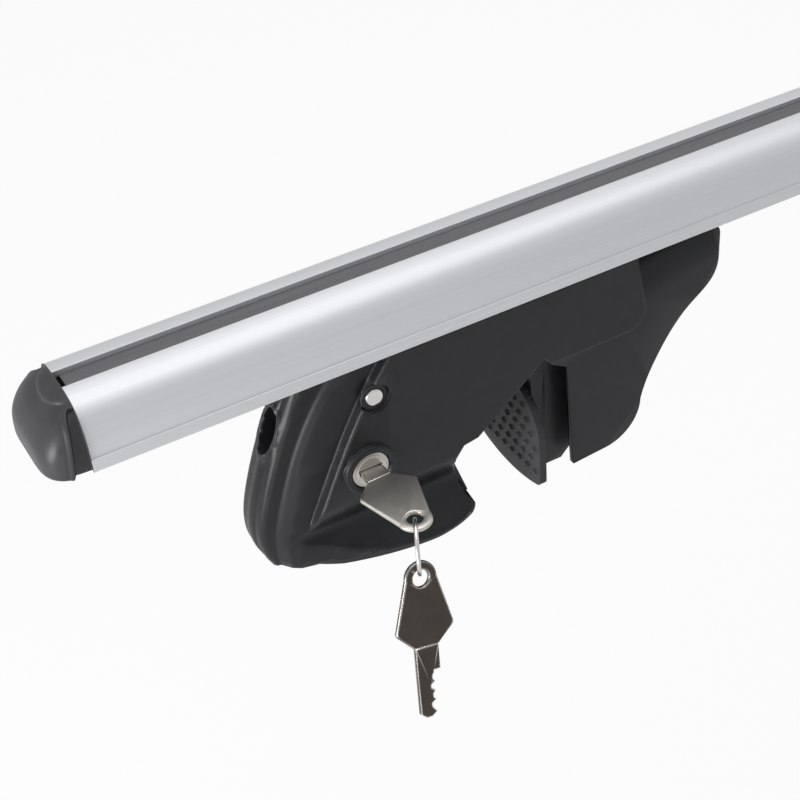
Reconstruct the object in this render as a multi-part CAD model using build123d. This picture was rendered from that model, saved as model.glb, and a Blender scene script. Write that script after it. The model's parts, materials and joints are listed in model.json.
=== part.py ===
from build123d import *
import math
import os

# Roof rack crossbar for raised rails: an aluminium bar on two clamp feet.
# Millimetres, +Z up. X runs along the bar, Y across it (-Y is the lock side).
# The origin is the middle of the bar's top slot, level with its lips.

# General clearances
FIT = 0.05
SEAT_GAP = 0.1
RUNNING = 0.3

# Bar extrusion
BAR_LENGTH = 1200.0
BAR_HALF_WIDTH = 21.4
BAR_HEIGHT = 24.0
DOME_HALF_WIDTH = 20.7
DOME_RISE = 24.1
DOME_POWER = 3.2
DOME_STEPS = 12
BASE_BAND = 5.0
BAR_WALL = 2.0
SLOT_MOUTH = 9.4
SLOT_LIP = 2.4
SLOT_WIDTH = 19.0
SLOT_DEPTH = 9.0
CHANNEL_MOUTH = 9.0
CHANNEL_LIP = 2.2
CHANNEL_WIDTH = 18.0
CHANNEL_DEPTH = 7.4

# Rubber strip in the top slot
STRIP_DROP = 1.7
STRIP_FLANGE = 1.6
STRIP_SHORT = 2.0

# End caps: each level is (share of the length, of the width, of the height)
CAP_LENGTH = 15.0
CAP_LEVELS = ((0.0, 1.0, 1.0), (0.4, 0.98, 0.88), (0.7, 0.92, 0.71), (0.9, 0.8, 0.52), (1.0, 0.6, 0.34))
CAP_LIFT = 1.5
CAP_SPIGOT = 14.0
CAP_GRIP_DEPTH = 1.4
CAP_GRIP_WIDTH = 5.5
CAP_GRIP_TOP = -6.0

# Foot: places are measured from its outer end and from the bar's underside
FOOT_INSET = 55.0
FOOT_LENGTH = 196.0
FOOT_GAP = 0.2
SHELL_HALF = 18.5
SHELL_ROOF = 3.0
SHELL_WALL = 2.5
PANEL_RISE = 1.5
PANEL_FOOT = -60.5
PANEL_STEP = -33.2
PANEL_ROOT = 14.0
PANEL_SHORT = 32.0
PANEL_END_LEAN = 7.0
PANEL_CORNER = 9.0
PANEL_EDGE = 1.5
SKIRT_LINE = ((12.0, 10.5), (20.0, 15.0), (33.0, 20.0), (56.0, 25.0), (76.0, 24.2), (86.0, 19.5))
SKIRT_TOP = -70.0
SKIRT_FOOT = -86.2
SKIRT_EDGE = 2.2
SCOOP_START = 5.0
SCOOP_HALF = 14.4
SCOOP_DEEPEST = -69.0
SCOOP_SOFT = 4.6
LEG_FOOT = -86.5
LEG_INNER = 128.0
LEG_TOE = 17.0
LEG_KNEE = 33.0
LEG_KNEE_Z = -68.0
LEG_SHOULDER_Z = -15.0
OUTER_TIP_X = 84.0
OUTER_TIP_Z = -84.5
OUTER_TIP_ROUND = 3.0
BELLY_X = 60.0
BELLY_Z = -87.0
CEILING_LOW = (87.0, -53.0)
CEILING_TOP = (116.0, -30.0)
JAW_CORNER = (77.5, -58.5)

# Nose of the foot: places where each level of the shell meets five heights
NOSE_HEIGHTS = (0.0, -33.0, -54.0, -70.0, -83.0)
NOSE_PARTING = (23.0, 10.5, 3.0, 0.2, 4.0)
NOSE_RIDGE_ONE = (42.0, 18.5, 10.5, 6.6, 7.2)
NOSE_RIDGE_TWO = (53.0, 31.8, 21.5, 14.5, 11.4)
NOSE_FLANK = (58.0, 38.0, 31.0, 32.0, 34.0)
BEAD_WIDTH = 2.2
BEAD_EDGE = 0.2
BEAD_GROOVE = 0.9
BEAD_DEPTH = 0.7
NOSE_ROUND = ((6.0, 0.1), (7.8, 0.2), (8.7, 0.43), (9.2, 0.9))
RIDGE_ONE_HALF = 9.6
RIDGE_ONE_RISE = 3.4
RIDGE_ONE_LEAN = 2.4
FLUTE_TWO_HALF = 15.0
FLUTE_TWO_SHIFT = 1.0

# Room inside the shells
NOSE_ROOM_HALF = 9.0
ROOM_FOOT = -59.6
ROOM_X = 52.0

# Clamp bolt, and the bracket that carries it
BOLT_Z = -28.0
BOLT_RADIUS = 4.0
BOLT_LENGTH = 100.0
BOLT_HEAD_RADIUS = 6.5
BOLT_HEAD_LENGTH = 8.0
BOLT_HEX = 6.0
WASHER_RADIUS = 8.0
WASHER_THICK = 1.6
PLATE_X = 53.0
SHEET = 2.5
BRACKET_SHORT = 34.0
BRACKET_FOOT = -34.0
PLATE_FOOT = -42.0

# Slider plate in the bar's lower channel, with its two screws
SLIDER_LENGTH = 110.0
SLIDER_X = 107.0
SLIDER_THICK = 4.4
SLIDER_SCREW_PITCH = 80.0
SLIDER_SCREW_RADIUS = 3.0
SLIDER_HEAD_RADIUS = 5.0
SLIDER_HEAD = 5.0
SLIDER_HEX = 5.0

# Sliding jaw
JAW_FACE = 112.0
JAW_PAD = 3.0
JAW_PAD_HALF = 21.5
JAW_PAD_TOP = -46.5
JAW_PAD_FOOT = -91.2
JAW_PAD_BULGE = 3.7
JAW_PAD_CORNER = 3.0
JAW_HALF = 12.0
JAW_BLOCK = 24.0
JAW_BLOCK_TOP = -17.0
JAW_BLOCK_FOOT = -39.0
JAW_TONGUE = 6.0
JAW_TONGUE_FOOT = -87.0
JAW_RIB = 2.5
JAW_RIB_PLACE = 10.6
JAW_RIB_DEPTH = 14.0
NUT_ACROSS = 13.0
NUT_THICK = 6.5
NUT_SET_BACK = 9.0
STUD_SIZE = 2.6
STUD_HEIGHT = 0.9
STUD_PITCH = 5.5

# Rubber lining of the fixed outer jaw
LINING = 1.6
LINING_HALF = 13.0
LINING_TOP = -63.0
LINING_FOOT = -81.5

# Cross pin
PIN_X = 46.8
PIN_Z = -16.5
PIN_RADIUS = 3.5
PIN_SINK = 1.0
PIN_RECESS_RADIUS = 5.8
PIN_RECESS = 2.2

# Lock, with its plug and cam
LOCK_X = 41.4
LOCK_Z = -45.2
LOCK_FACE_RADIUS = 7.7
LOCK_FACE_RISE = 1.2
LOCK_FLANGE = 1.8
LOCK_BARREL_RADIUS = 6.8
LOCK_BARREL = 18.0
LOCK_BOSS_RADIUS = 10.4
LOCK_BOSS_RISE = 2.0
PLUG_RADIUS = 5.5
PLUG_LENGTH = 22.4
PLUG_TAIL = 2.6
KEYWAY_WIDTH = 9.4
KEYWAY_HEIGHT = 2.6
CAM_REACH = 20.0
CAM_THICK = 2.0
CAM_HUB_RADIUS = 5.0
CAM_TIP_RADIUS = 4.0
CAM_ANGLE = 126.0
CAM_SCREW_RADIUS = 1.5
CAM_SCREW_LENGTH = 3.4
CAM_HEAD_RADIUS = 3.2
CAM_HEAD = 1.8

# Access hole for the hex key, in the nose
ACCESS_HALF_WIDTH = 5.0
ACCESS_HALF_HEIGHT = 8.8
ACCESS_RIM = 1.6
ACCESS_RIM_RISE = 0.7

# Screws that join the shells
SHELL_SCREWS = ((13.5, -66.0), (66.0, -53.5), (100.0, -12.0), (FOOT_LENGTH - 12.0, -13.0))
SCREW_RADIUS = 1.6
SCREW_HEAD_RADIUS = 3.0
SCREW_HEAD = 2.4
SCREW_SINK = 12.0
SCREW_GRIP = 9.0
BOSS_RADIUS = 4.0

# Keys and ring
KEY_THICK = 2.0
KEY_BEVEL = 0.5
KEY_BLADE = 8.8
KEY_NECK = 9.0
KEY_TIP = 17.0
KEY_TIP_WIDTH = 6.2
KEY_STAND = 6.0
KEY_BOW_LENGTH = 31.4
KEY_BOW_WIDTH = 23.0
KEY_BOW_BASE = 9.4
KEY_SHOULDER = 6.3
KEY_END_RADIUS = 6.2
KEY_HOLE_RADIUS = 3.1
KEY_CUTS = (0.7, 1.5, 0.9, 1.7)
RING_RADIUS = 9.4
RING_WIRE = 0.75
RING_TURN = 26.5
RING_LEAN = 23.6
SPARE_TURN = -27.0
SPARE_LEAN = 0.0
RING_GAP = 0.15
SPARE_GAP = 0.5

# Worked out from the sizes above
UNDERSIDE = -BAR_HEIGHT
FOOT_X = -BAR_LENGTH / 2 + FOOT_INSET
FOOT_Z = UNDERSIDE - FOOT_GAP
PANEL_HALF = SHELL_HALF + PANEL_RISE
PANEL_END = FOOT_LENGTH - PANEL_SHORT
BRACKET_END = FOOT_LENGTH - BRACKET_SHORT
SKIRT_HALF = max(y for x, y in SKIRT_LINE)
ROOM_HALF = SHELL_HALF - SHELL_WALL
JAW_BACK = JAW_FACE + JAW_PAD
BRACKET_INNER = JAW_HALF + RUNNING
BRACKET_HALF = BRACKET_INNER + SHEET
WASHER_X = PLATE_X - WASHER_THICK
HEAD_X = WASHER_X - SEAT_GAP - BOLT_HEAD_LENGTH
NUT_X = JAW_BACK + NUT_SET_BACK
LOCK_FRONT = PANEL_HALF + LOCK_FACE_RISE
CAM_DEPTH = LOCK_FRONT - PLUG_LENGTH


# Helpers in the foot's own frame


def front_plane(depth):
    """Upright plane at y = -depth that faces the lock side."""
    return Plane((FOOT_X, -depth, FOOT_Z), x_dir=(1, 0, 0), z_dir=(0, -1, 0))


def end_plane(x):
    """Plane across the foot at a place along it, facing the bar's middle."""
    return Plane((FOOT_X + x, 0, FOOT_Z), x_dir=(0, 1, 0), z_dir=(1, 0, 0))


def plan_plane(z):
    """Level plane at a height below the bar, facing up."""
    return Plane((FOOT_X, 0, FOOT_Z + z), x_dir=(1, 0, 0), z_dir=(0, 0, 1))


def outline(*points):
    """Face bounded by straight lines."""
    return make_face(Polyline(*points, close=True).edges())


def slab(face, near, far):
    """Plate with a face drawn in side view, from y = -near to y = -far."""
    return extrude(front_plane(near) * face, far - near)


def rod(x, z, radius, near, far):
    """Round bar across the foot, from y = -near to y = -far."""
    return slab(Pos(x, z) * Circle(radius), near, far)


def rod_along(x, radius, length):
    """Round bar along the clamp bolt's line."""
    return extrude(end_plane(x) * Pos(0, BOLT_Z) * Circle(radius), length)


def rod_up(x, radius, low, high):
    """Upright round bar in the foot's middle plane."""
    return extrude(plan_plane(low) * Pos(x, 0) * Circle(radius), high - low)


def block(x0, x1, half, z0, z1):
    """Box that is centred across the foot."""
    face = Pos((x0 + x1) / 2, (z0 + z1) / 2) * Rectangle(x1 - x0, z1 - z0)
    return slab(face, -half, half)


# Bar, strip and end caps


def dome(half, rise, foot):
    """Face under an arch that is flatter on top than an ellipse."""
    share = 2 / DOME_POWER
    points = []
    for step in range(DOME_STEPS + 1):
        turn = math.pi * step / DOME_STEPS
        across = half * abs(math.cos(turn)) ** share
        points.append((math.copysign(across, math.cos(turn)), foot + rise * abs(math.sin(turn)) ** share))
    points[-1] = (-half, foot)
    arch = Spline(*points, tangents=((0, 1), (0, -1)))
    return make_face([arch, Line(points[-1], points[0])])


def bar_outline(inset=0.0):
    """Arch of the bar's outer section, drawn in by an inset."""
    keep = Pos(0, UNDERSIDE / 2) * Rectangle(2 * DOME_HALF_WIDTH, BAR_HEIGHT - 2 * inset)
    return dome(DOME_HALF_WIDTH - inset, DOME_RISE - inset, UNDERSIDE) & keep


def tee(mouth, lip, width, depth):
    """Section of a T-slot that opens upwards at the origin."""
    neck = Pos(0, -lip / 2) * Rectangle(mouth, lip)
    room = Pos(0, -(lip + depth) / 2) * Rectangle(width, depth - lip)
    return neck + room


def bar_chambers(inset=0.0):
    """The two side chambers of the section."""
    core_half = max(SLOT_WIDTH, CHANNEL_WIDTH) / 2 + BAR_WALL + inset
    core = Pos(0, UNDERSIDE / 2) * Rectangle(2 * core_half, BAR_HEIGHT)
    return bar_outline(BAR_WALL + inset) - core


def bar_end(x):
    return Plane((x, 0, 0), x_dir=(0, 1, 0), z_dir=(1, 0, 0))


def make_bar():
    band = Pos(0, UNDERSIDE + BASE_BAND / 2) * Rectangle(2 * BAR_HALF_WIDTH, BASE_BAND)
    section = bar_outline() + fillet(band.vertices(), 0.5)
    channel = tee(CHANNEL_MOUTH, CHANNEL_LIP, CHANNEL_WIDTH, CHANNEL_DEPTH)
    section -= tee(SLOT_MOUTH, SLOT_LIP, SLOT_WIDTH, SLOT_DEPTH)
    section -= Pos(0, UNDERSIDE) * Rot(0, 0, 180) * channel
    section -= bar_chambers()
    return extrude(bar_end(-BAR_LENGTH / 2) * section, BAR_LENGTH)


def make_strip():
    """Rubber strip that closes the slot: a band in the mouth, a flange under the lips."""
    foot = SLOT_LIP + FIT
    band = Pos(0, -(STRIP_DROP + foot) / 2) * Rectangle(SLOT_MOUTH - 2 * FIT, foot - STRIP_DROP)
    flange = Pos(0, -foot - STRIP_FLANGE / 2) * Rectangle(SLOT_WIDTH - 2 * RUNNING, STRIP_FLANGE)
    length = BAR_LENGTH - 2 * STRIP_SHORT
    return extrude(bar_end(-length / 2) * (band + flange), length)


def cap_dome(inset):
    """Rounded nose over the left end of the bar, drawn in by an inset."""
    sections = []
    for along, wide, tall in CAP_LEVELS:
        foot = UNDERSIDE + (1 - tall) * CAP_LIFT
        half = BAR_HALF_WIDTH * wide - inset
        section = dome(half, BAR_HEIGHT * tall - inset, foot)
        sections.append(bar_end(-BAR_LENGTH / 2 - CAP_LENGTH * along) * section)
    return loft(sections)


def make_cap():
    """Plug for the left end of the bar: nose, finger recess each side, two spigots."""
    x = -BAR_LENGTH / 2
    side = Plane((x, 0, 0), x_dir=(1, 0, 0), z_dir=(0, -1, 0))
    wedge = outline((1, CAP_GRIP_TOP), (-CAP_GRIP_WIDTH / 2, CAP_GRIP_TOP - 3),
                    (-CAP_GRIP_WIDTH, UNDERSIDE - 1), (1, UNDERSIDE - 1))
    grip = extrude(side * wedge, BAR_HALF_WIDTH + 5, both=True) - cap_dome(CAP_GRIP_DEPTH)
    spigots = extrude(bar_end(x) * bar_chambers(RUNNING), CAP_SPIGOT)
    return cap_dome(0.0) - grip + spigots


# Foot shells


def between(near, far, share):
    """Nose line that lies a share of the way from one to another."""
    return [a + share * (b - a) for a, b in zip(near, far)]


def leg_edge(inset=0.0):
    """Outer edge of the inner leg, from shoulder to knee, drawn in by an inset."""
    shoulder = FOOT_LENGTH - inset
    knee = LEG_INNER + LEG_KNEE - inset
    reach = shoulder - knee
    return Spline((shoulder, LEG_SHOULDER_Z), (knee + 0.63 * reach, -32.5), (knee + 0.19 * reach, -52),
                  (knee, LEG_KNEE_Z), tangents=((0, -1), (-0.25, -1)))


def shell_outline(depth, places, shift=0.0):
    """Side outline of the shell at one half thickness, with its own nose line."""
    nose = [(x + shift, z) for x, z in zip(places, NOSE_HEIGHTS)]
    right = FOOT_LENGTH
    hook = (CEILING_TOP[0] + 4, CEILING_TOP[1] - 4)
    ledge = (CEILING_LOW[0] - 6, CEILING_LOW[1] - 1)
    cheek = (JAW_CORNER[0] - 1, JAW_CORNER[1] - 3)
    toe = (LEG_INNER + LEG_TOE, LEG_FOOT + 1.2)
    heel = (LEG_INNER + 1.5, LEG_FOOT)
    leg_top = (LEG_INNER - 1, -38)
    heel_out = (BELLY_X, BELLY_Z + 0.4)
    belly = ((BELLY_X + nose[-1][0]) / 2, BELLY_Z)
    leg = leg_edge()
    edges = [
        Line(nose[0], (right - 5, 0)),
        RadiusArc((right - 5, 0), (right, -5), 5),
        Line((right, -5), leg @ 0),
        leg,
        ThreePointArc(leg @ 1, (LEG_INNER + LEG_KNEE - 5, -80), toe),
        Line(toe, heel),
        Line(heel, leg_top),
        Line(leg_top, hook),
        Line(hook, CEILING_TOP),
        Line(CEILING_TOP, CEILING_LOW),
        Line(CEILING_LOW, ledge),
        Line(ledge, JAW_CORNER),
        Line(JAW_CORNER, cheek),
        Line(cheek, (OUTER_TIP_X, OUTER_TIP_Z)),
        Line((OUTER_TIP_X, OUTER_TIP_Z), heel_out),
        ThreePointArc(heel_out, belly, nose[-1]),
        Spline(*reversed(nose)),
    ]
    face = make_face(edges)
    tip = face.vertices().sort_by_distance((OUTER_TIP_X, OUTER_TIP_Z))[0]
    return front_plane(depth) * fillet(tip, OUTER_TIP_ROUND)


def make_panel():
    """Raised panel on the shell's side, with rounded edges."""
    bay = CEILING_TOP[0] - 3
    keep = outline((-5, 5), (PANEL_END - PANEL_END_LEAN, 5), (PANEL_END, PANEL_STEP), (bay, PANEL_STEP),
                   (bay, SCOOP_DEEPEST), (-5, SCOOP_DEEPEST))
    corner = keep.vertices().sort_by(Axis.X)[-1]
    keep = fillet(corner, PANEL_CORNER)
    face = shell_outline(PANEL_ROOT, NOSE_RIDGE_TWO, PANEL_RISE) & (front_plane(PANEL_ROOT) * keep)
    panel = extrude(face, PANEL_HALF - PANEL_ROOT, dir=(0, -1, 0))
    rim = panel.faces().sort_by(Axis.Y)[0].edges()
    return fillet(rim, PANEL_EDGE)


def make_skirt():
    """Flared lip along the bottom of the outer leg."""
    start = SCOOP_HALF - SHELL_WALL
    side = extrude(shell_outline(start, NOSE_RIDGE_TWO), SKIRT_HALF + 1 - start, dir=(0, -1, 0))
    rim = [(x, -y) for x, y in SKIRT_LINE]
    plan = make_face([
        Spline(*rim),
        Line(rim[-1], (rim[-1][0], 0)),
        Line((rim[-1][0], 0), (rim[0][0], 0)),
        Line((rim[0][0], 0), rim[0]),
    ])
    low = extrude(plan_plane(SKIRT_FOOT) * plan, SKIRT_TOP - SKIRT_FOOT)
    return side & low


def make_scoop():
    """Shallow hollow: soft below the panel, deepest at a half width, then out to the skirt's lip."""
    out = SKIRT_HALF + 5
    top = (-PANEL_HALF - FIT, PANEL_FOOT + SCOOP_SOFT)
    lip = (-SKIRT_HALF - 1, BELLY_Z + SKIRT_EDGE)
    profile = make_face([
        Spline(top, (-SCOOP_HALF, SCOOP_DEEPEST), lip, tangents=((0.15, -1), (-0.8, -0.6))),
        Line(lip, (-out, lip[1])),
        Line((-out, lip[1]), (-out, top[1])),
        Line((-out, top[1]), top),
    ])
    return extrude(end_plane(SCOOP_START) * profile, OUTER_TIP_X + 5 - SCOOP_START)


def make_body(proud=0.0):
    """Front half of the moulding through its nose levels, its nose brought forward by proud."""
    levels = [
        (0.0, NOSE_PARTING, 0.0),
        (BEAD_WIDTH, NOSE_PARTING, BEAD_EDGE),
        (BEAD_WIDTH + BEAD_GROOVE, NOSE_PARTING, BEAD_EDGE + BEAD_DEPTH),
        *((half, between(NOSE_PARTING, NOSE_RIDGE_ONE, share), 0.0) for half, share in NOSE_ROUND),
        (RIDGE_ONE_HALF, NOSE_RIDGE_ONE, 0.0),
        (RIDGE_ONE_HALF + RIDGE_ONE_RISE, NOSE_RIDGE_ONE, RIDGE_ONE_LEAN),
        (FLUTE_TWO_HALF, NOSE_RIDGE_TWO, FLUTE_TWO_SHIFT),
        (SHELL_HALF, NOSE_FLANK, 0.0),
    ]
    sections = [shell_outline(depth, places, shift - proud) for depth, places, shift in levels]
    return loft(sections, ruled=True)


def access_prism(rim, length):
    """Oval prism along the clamp bolt's line, from the nose inwards."""
    oval = Pos(0, BOLT_Z) * Ellipse(ACCESS_HALF_WIDTH + rim, ACCESS_HALF_HEIGHT + rim)
    return extrude(end_plane(-5) * oval, length)


def make_half():
    """Front half of the housing without its holes: body, panel, skirt, scoop and room."""
    half = make_body() + make_panel() + make_skirt() - make_scoop()
    front = block(-5, ROOM_X, RIDGE_ONE_HALF, PLATE_FOOT, 0)
    half = half + (make_body(ACCESS_RIM_RISE) & access_prism(ACCESS_RIM, 35) & front)
    leg = leg_edge(SHELL_WALL)
    pad_room = LEG_INNER + LEG_TOE + 5.5
    nose_room = outline((44, -SHELL_ROOF), (ROOM_X + 5, -SHELL_ROOF),
                        (ROOM_X + 5, ROOM_FOOT), (13, ROOM_FOOT), (19, -42), (30, -22))
    leg_room = make_face([
        Line((ROOM_X, -SHELL_ROOF), (FOOT_LENGTH - SHELL_WALL, -SHELL_ROOF)),
        Line((FOOT_LENGTH - SHELL_WALL, -SHELL_ROOF), leg @ 0),
        leg,
        Line(leg @ 1, (pad_room, -81)),
        Line((pad_room, -81), (pad_room, JAW_PAD_FOOT - 5)),
        Line((pad_room, JAW_PAD_FOOT - 5), (CEILING_LOW[0] + 12, JAW_PAD_FOOT - 5)),
        Line((CEILING_LOW[0] + 12, JAW_PAD_FOOT - 5), (CEILING_LOW[0] + 12, -47)),
        Line((CEILING_LOW[0] + 12, -47), (JAW_CORNER[0] - 3, -47)),
        Line((JAW_CORNER[0] - 3, -47), (JAW_CORNER[0] - 3, -58)),
        Line((JAW_CORNER[0] - 3, -58), (ROOM_X, -58)),
        Line((ROOM_X, -58), (ROOM_X, -SHELL_ROOF)),
    ])
    half = half - slab(nose_room, 0, NOSE_ROOM_HALF) - slab(leg_room, 0, ROOM_HALF)
    bosses = [rod(x, z, BOSS_RADIUS, 0, ROOM_HALF + 0.5) for x, z in SHELL_SCREWS[1:]]
    half = half + bosses
    half = half - access_prism(0.0, 45)
    for x in slider_screw_places():
        half = half - rod_up(x, SLIDER_SCREW_RADIUS + RUNNING, -2 * SHELL_ROOF, 5)
    half = half - rod(PIN_X, PIN_Z, PIN_RADIUS + FIT, -1, PANEL_HALF + 5)
    half = half - rod(PIN_X, PIN_Z, PIN_RECESS_RADIUS, PANEL_HALF - PIN_RECESS, PANEL_HALF + 5)
    return half


def make_front_shell(half):
    """Front half with the lock's boss and bore, and blind holes for the screws."""
    rim = PANEL_HALF + LOCK_BOSS_RISE
    boss = rod(LOCK_X, LOCK_Z, LOCK_BOSS_RADIUS, NOSE_ROOM_HALF - 3, rim)
    boss = fillet(boss.faces().sort_by(Axis.Y)[0].edges(), 1.0)
    shell = half + boss
    shell = shell - rod(LOCK_X, LOCK_Z, LOCK_BARREL_RADIUS + FIT, -1, rim + 5)
    seat = LOCK_FRONT - LOCK_FLANGE
    shell = shell - rod(LOCK_X, LOCK_Z, LOCK_FACE_RADIUS + FIT, seat, rim + 5)
    for x, z in SHELL_SCREWS:
        shell = shell - rod(x, z, SCREW_RADIUS + FIT, -1, SCREW_GRIP + 1)
    return shell


def make_rear_shell(half):
    """Rear half with the sunk screw holes."""
    shell = mirror(half, about=Plane.XZ)
    for x, z in SHELL_SCREWS:
        shell = shell - rod(x, z, SCREW_RADIUS + FIT, 1, -SCREW_SINK - 1)
        shell = shell - rod(x, z, SCREW_HEAD_RADIUS + RUNNING, -SCREW_SINK, -PANEL_HALF - 5)
    return shell


def make_shell_screws():
    screws = []
    for x, z in SHELL_SCREWS:
        shank = rod(x, z, SCREW_RADIUS, -SCREW_SINK, SCREW_GRIP)
        screws.append(shank + rod(x, z, SCREW_HEAD_RADIUS, -SCREW_SINK - SCREW_HEAD, -SCREW_SINK))
    return Compound(screws)


# Bracket, slider and clamp bolt


def slider_screw_places():
    return (SLIDER_X - SLIDER_SCREW_PITCH / 2, SLIDER_X + SLIDER_SCREW_PITCH / 2)


def make_bracket():
    """Folded steel channel: roof, two flanges that guide the jaw, and the bolt's end plate."""
    roof = -SHELL_ROOF
    under = roof - SHEET
    body = block(PLATE_X, BRACKET_END, BRACKET_HALF, under, roof)
    sides = block(PLATE_X + 10, BRACKET_END, BRACKET_HALF, BRACKET_FOOT, under)
    sides = sides - block(PLATE_X, BRACKET_END + 1, BRACKET_INNER, BRACKET_FOOT - 1, under)
    body = body + sides + block(PLATE_X, PLATE_X + SHEET, JAW_HALF, PLATE_FOOT, under)
    body = body - rod_along(PLATE_X - 1, BOLT_RADIUS + RUNNING, SHEET + 2)
    for x in slider_screw_places():
        body = body - rod_up(x, SLIDER_SCREW_RADIUS + RUNNING, under - 1, 0)
    x, z = SHELL_SCREWS[2]
    return body - rod(x, z, BOSS_RADIUS + RUNNING, -ROOM_HALF, ROOM_HALF)


def make_slider():
    foot = FOOT_GAP + CHANNEL_LIP + SEAT_GAP
    half = CHANNEL_WIDTH / 2 - RUNNING
    plate = block(SLIDER_X - SLIDER_LENGTH / 2, SLIDER_X + SLIDER_LENGTH / 2, half,
                  foot, foot + SLIDER_THICK)
    for x in slider_screw_places():
        plate = plate - rod_up(x, SLIDER_SCREW_RADIUS + FIT, foot - 1, foot + SLIDER_THICK + 1)
    return plate


def make_slider_screws():
    under = -SHELL_ROOF - SHEET
    tip = FOOT_GAP + CHANNEL_LIP + SEAT_GAP + SLIDER_THICK
    screws = []
    for x in slider_screw_places():
        screw = rod_up(x, SLIDER_SCREW_RADIUS, under, tip)
        screw = screw + rod_up(x, SLIDER_HEAD_RADIUS, under - SLIDER_HEAD, under)
        hexagon = plan_plane(under - SLIDER_HEAD) * Pos(x, 0) * RegularPolygon(
            SLIDER_HEX / 2, 6, major_radius=False)
        screws.append(screw - extrude(hexagon, SLIDER_HEAD / 2))
    return Compound(screws)


def make_washer():
    ring = rod_along(WASHER_X, WASHER_RADIUS, WASHER_THICK)
    return ring - rod_along(WASHER_X - 1, BOLT_RADIUS + RUNNING, WASHER_THICK + 2)


def make_bolt():
    """Socket head bolt with its head towards the access hole."""
    head = rod_along(HEAD_X, BOLT_HEAD_RADIUS, BOLT_HEAD_LENGTH)
    head = chamfer(head.faces().sort_by(Axis.X)[0].edges(), 0.6)
    socket = end_plane(HEAD_X) * Pos(0, BOLT_Z) * RegularPolygon(BOLT_HEX / 2, 6, major_radius=False)
    shank = rod_along(HEAD_X + BOLT_HEAD_LENGTH, BOLT_RADIUS, BOLT_LENGTH)
    shank = chamfer(shank.faces().sort_by(Axis.X)[-1].edges(), 0.8)
    return head + shank - extrude(socket, BOLT_HEAD_LENGTH / 2)


# Sliding jaw


def make_carriage():
    """Jaw block that runs between the bracket's flanges, with a ribbed tongue below."""
    body = block(JAW_BACK, JAW_BACK + JAW_BLOCK, JAW_HALF, JAW_BLOCK_FOOT, JAW_BLOCK_TOP)
    body = body + block(JAW_BACK, JAW_BACK + JAW_TONGUE, JAW_HALF, JAW_TONGUE_FOOT, JAW_BLOCK_FOOT)
    back = JAW_BACK + JAW_TONGUE
    rib = outline((back, JAW_BLOCK_FOOT), (back + JAW_RIB_DEPTH, JAW_BLOCK_FOOT),
                  (back + JAW_RIB_DEPTH, JAW_TONGUE_FOOT + JAW_RIB_DEPTH / 2),
                  (back + JAW_RIB_DEPTH / 2, JAW_TONGUE_FOOT), (back, JAW_TONGUE_FOOT))
    for side in (-JAW_RIB_PLACE, JAW_RIB_PLACE):
        body = body + slab(rib, side - JAW_RIB / 2, side + JAW_RIB / 2)
    body = body - rod_along(JAW_BACK - 1, BOLT_RADIUS + RUNNING, JAW_BLOCK + 2)
    pocket_half = NUT_ACROSS / 2 + FIT
    return body - block(NUT_X - FIT, NUT_X + NUT_THICK + FIT, pocket_half,
                        BOLT_Z - pocket_half, JAW_BLOCK_TOP + 1)


def make_nut():
    half = NUT_ACROSS / 2
    nut = block(NUT_X, NUT_X + NUT_THICK, half, BOLT_Z - half, BOLT_Z + half)
    return nut - rod_along(NUT_X - 1, BOLT_RADIUS + FIT, NUT_THICK + 2)


def make_jaw_pad():
    """Rubber pad with an arched top, a bowed foot and rows of studs."""
    half = JAW_PAD_HALF
    spring = JAW_PAD_TOP - half
    toe = JAW_PAD_FOOT + JAW_PAD_BULGE
    face = make_face([
        ThreePointArc((-half, spring), (0, JAW_PAD_TOP), (half, spring)),
        Line((half, spring), (half, toe)),
        ThreePointArc((half, toe), (0, JAW_PAD_FOOT), (-half, toe)),
        Line((-half, toe), (-half, spring)),
    ])
    face = fillet(face.vertices().sort_by(Axis.Y)[:2], JAW_PAD_CORNER)
    pad = extrude(end_plane(JAW_FACE) * face, JAW_PAD)
    rows = int((JAW_PAD_TOP - JAW_PAD_FOOT) / STUD_PITCH)
    middle = (JAW_PAD_TOP + JAW_PAD_FOOT) / 2
    columns = int(half / STUD_PITCH)
    reach = half - STUD_SIZE
    for row in range(rows):
        z = middle + (row - (rows - 1) / 2) * STUD_PITCH
        for column in range(-columns, columns + 1):
            y = (column + 0.25 * (-1) ** row) * STUD_PITCH
            arch = math.sqrt(max(reach ** 2 - max(z - spring, 0) ** 2, 0))
            if abs(y) < arch and toe < z < JAW_PAD_TOP - STUD_SIZE:
                base = end_plane(JAW_FACE) * Pos(y, z) * Rot(0, 0, 45) * Rectangle(STUD_SIZE, STUD_SIZE)
                pad = pad + extrude(base, -STUD_HEIGHT, taper=25)
    return pad


def make_lining():
    """Rubber lining on the fixed outer jaw."""
    cheek = (JAW_CORNER[0] - 1, JAW_CORNER[1] - 3)
    slope = (OUTER_TIP_X - cheek[0]) / (OUTER_TIP_Z - cheek[1])
    top = cheek[0] + slope * (LINING_TOP - cheek[1])
    foot = cheek[0] + slope * (LINING_FOOT - cheek[1])
    face = outline((top, LINING_TOP), (top + LINING, LINING_TOP),
                   (foot + LINING, LINING_FOOT), (foot, LINING_FOOT))
    return slab(face, -LINING_HALF, LINING_HALF)


# Cross pin and lock


def make_pin():
    end = PANEL_HALF - PIN_SINK
    pin = rod(PIN_X, PIN_Z, PIN_RADIUS, -end, end)
    ends = pin.edges().filter_by(GeomType.CIRCLE)
    return chamfer(ends, 0.5)


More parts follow.
